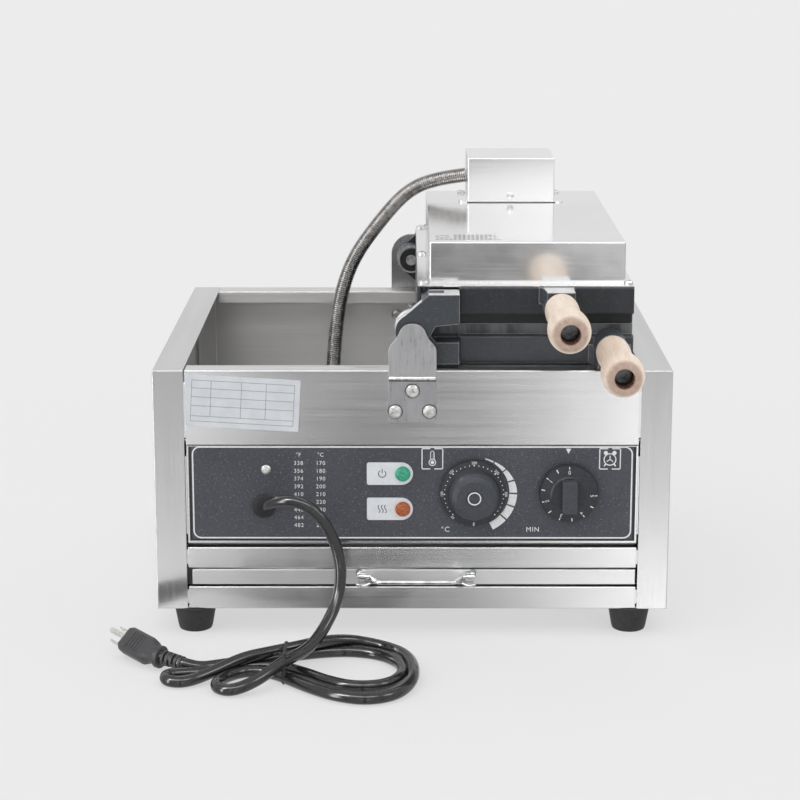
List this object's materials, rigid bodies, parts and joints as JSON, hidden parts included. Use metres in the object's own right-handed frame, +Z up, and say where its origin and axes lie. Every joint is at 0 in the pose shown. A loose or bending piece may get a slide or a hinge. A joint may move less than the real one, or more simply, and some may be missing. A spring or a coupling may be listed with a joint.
{
  "type": "taiyaki maker",
  "caption": "Countertop cooker for fish-shaped waffles: a stainless cabinet carries two heated molds on one central axis, which open and turn over, with a crumb tray below.",
  "frame": {"origin": "centre of the object's box on the surface it stands on, free cord not counted", "axes": "+X to the user's right, +Y away from the user, along the mold axis, +Z up"},
  "size_m": [0.4555, 0.559, 0.361],
  "materials": {
    "brushed_stainless": "fine horizontal brushing",
    "bracket_steel": "satin",
    "bright_hardware": "bright plated",
    "polished_stainless": "near mirror",
    "coated_cast": "non-stick coated casting, semi-gloss",
    "heater_steel": "oxidised tube",
    "conduit_steel": "wound strip, ribbed",
    "beech_wood": "turned, unvarnished",
    "black_rubber": "matte",
    "cord_rubber": "semi-gloss jacket",
    "plug_metal": "nickel plated",
    "overlay_film": "dark speckled film",
    "white_plastic": "white",
    "label_paper": "white foil label, blank",
    "green_lens": "faceted lens",
    "orange_lens": "faceted lens",
    "black_knob": "satin phenolic",
    "inner_plastic": "plain moulded",
    "chrome_wire": "chrome"
  },
  "bodies": {
    "cabinet": {"left_side_panel": "brushed_stainless", "right_side_panel": "brushed_stainless", "front_upper_panel": "brushed_stainless", "control_panel": "brushed_stainless", "panel_overlay": "overlay_film", "mid_front_rail": "brushed_stainless", "bottom_front_rail": "brushed_stainless", "back_panel": "brushed_stainless", "base_plate": "brushed_stainless", "control_box_shield": "brushed_stainless", "tray_runners": "brushed_stainless", "rubber_feet": "black_rubber", "foot_screws": "bright_hardware", "front_pivot_bracket": "bracket_steel", "rear_pivot_bracket": "bracket_steel", "bracket_screws": "bright_hardware", "pivot_pins": "bright_hardware", "pivot_washers": "bright_hardware", "pivot_collars": "coated_cast", "panel_screw": "bright_hardware", "lamp_plates": "white_plastic", "power_lamp": "green_lens", "heat_lamp": "orange_lens", "thermostat_body": "inner_plastic", "timer_body": "inner_plastic", "terminal_block": "inner_plastic", "cord_gland": "cord_rubber", "rating_plate": "label_paper", "upper_conduit": "conduit_steel", "lower_conduit": "conduit_steel", "conduit_glands": "bright_hardware", "power_cord": "cord_rubber", "power_cord_hank": "cord_rubber", "plug_body": "cord_rubber", "plug_blades": "plug_metal", "cord_tie": "cord_rubber"},
    "lower_mold": {"lower_mold_plate": "coated_cast", "lower_heater": "heater_steel", "lower_heater_cover": "polished_stainless", "lower_junction_box": "polished_stainless", "lower_cover_screws": "bright_hardware", "lower_handle_rod": "bright_hardware", "lower_grip": "beech_wood", "thermostat_bulb": "heater_steel"},
    "upper_mold": {"upper_mold_plate": "coated_cast", "mouth_core_rack": "coated_cast", "upper_heater": "heater_steel", "upper_heater_cover": "polished_stainless", "upper_junction_box": "polished_stainless", "upper_cover_screws": "bright_hardware", "upper_handle_rod": "bright_hardware", "upper_grip": "beech_wood"},
    "crumb_tray": {"crumb_tray": "brushed_stainless", "tray_handle_mounts": "chrome_wire"},
    "tray_bail": {"tray_bail_handle": "chrome_wire"},
    "thermostat_dial": {"thermostat_knob": "black_knob", "thermostat_shaft": "bright_hardware"},
    "timer_dial": {"timer_knob": "black_knob", "timer_shaft": "bright_hardware"}
  },
  "joints": [
    {"name": "mold_flip", "type": "hinge", "parent": "cabinet", "child": "lower_mold", "pos_m": [0, 0.05, 0.254], "axis": [0, -1, 0], "range_deg": [0, 178], "deforming": ["upper_conduit", "lower_conduit"]},
    {"name": "mold_open", "type": "hinge", "parent": "lower_mold", "child": "upper_mold", "pos_m": [0, 0.05, 0.254], "axis": [0, -1, 0], "range_deg": [0, 178], "deforming": ["upper_conduit"]},
    {"name": "tray_slide", "type": "slide", "parent": "cabinet", "child": "crumb_tray", "axis": [0, -1, 0], "range_m": [0, 0.28], "deforming": ["power_cord"]},
    {"name": "tray_bail_swing", "type": "hinge", "parent": "crumb_tray", "child": "tray_bail", "pos_m": [0, -0.1448, 0.05], "axis": [-1, 0, 0], "range_deg": [-60, 75]},
    {"name": "thermostat_turn", "type": "hinge", "parent": "cabinet", "child": "thermostat_dial", "pos_m": [0.0501, -0.15, 0.1204], "axis": [0, 1, 0], "range_deg": [0, 270]},
    {"name": "timer_turn", "type": "hinge", "parent": "cabinet", "child": "timer_dial", "pos_m": [0.1274, -0.15, 0.1204], "axis": [0, 1, 0], "range_deg": [0, 300]}
  ]
}
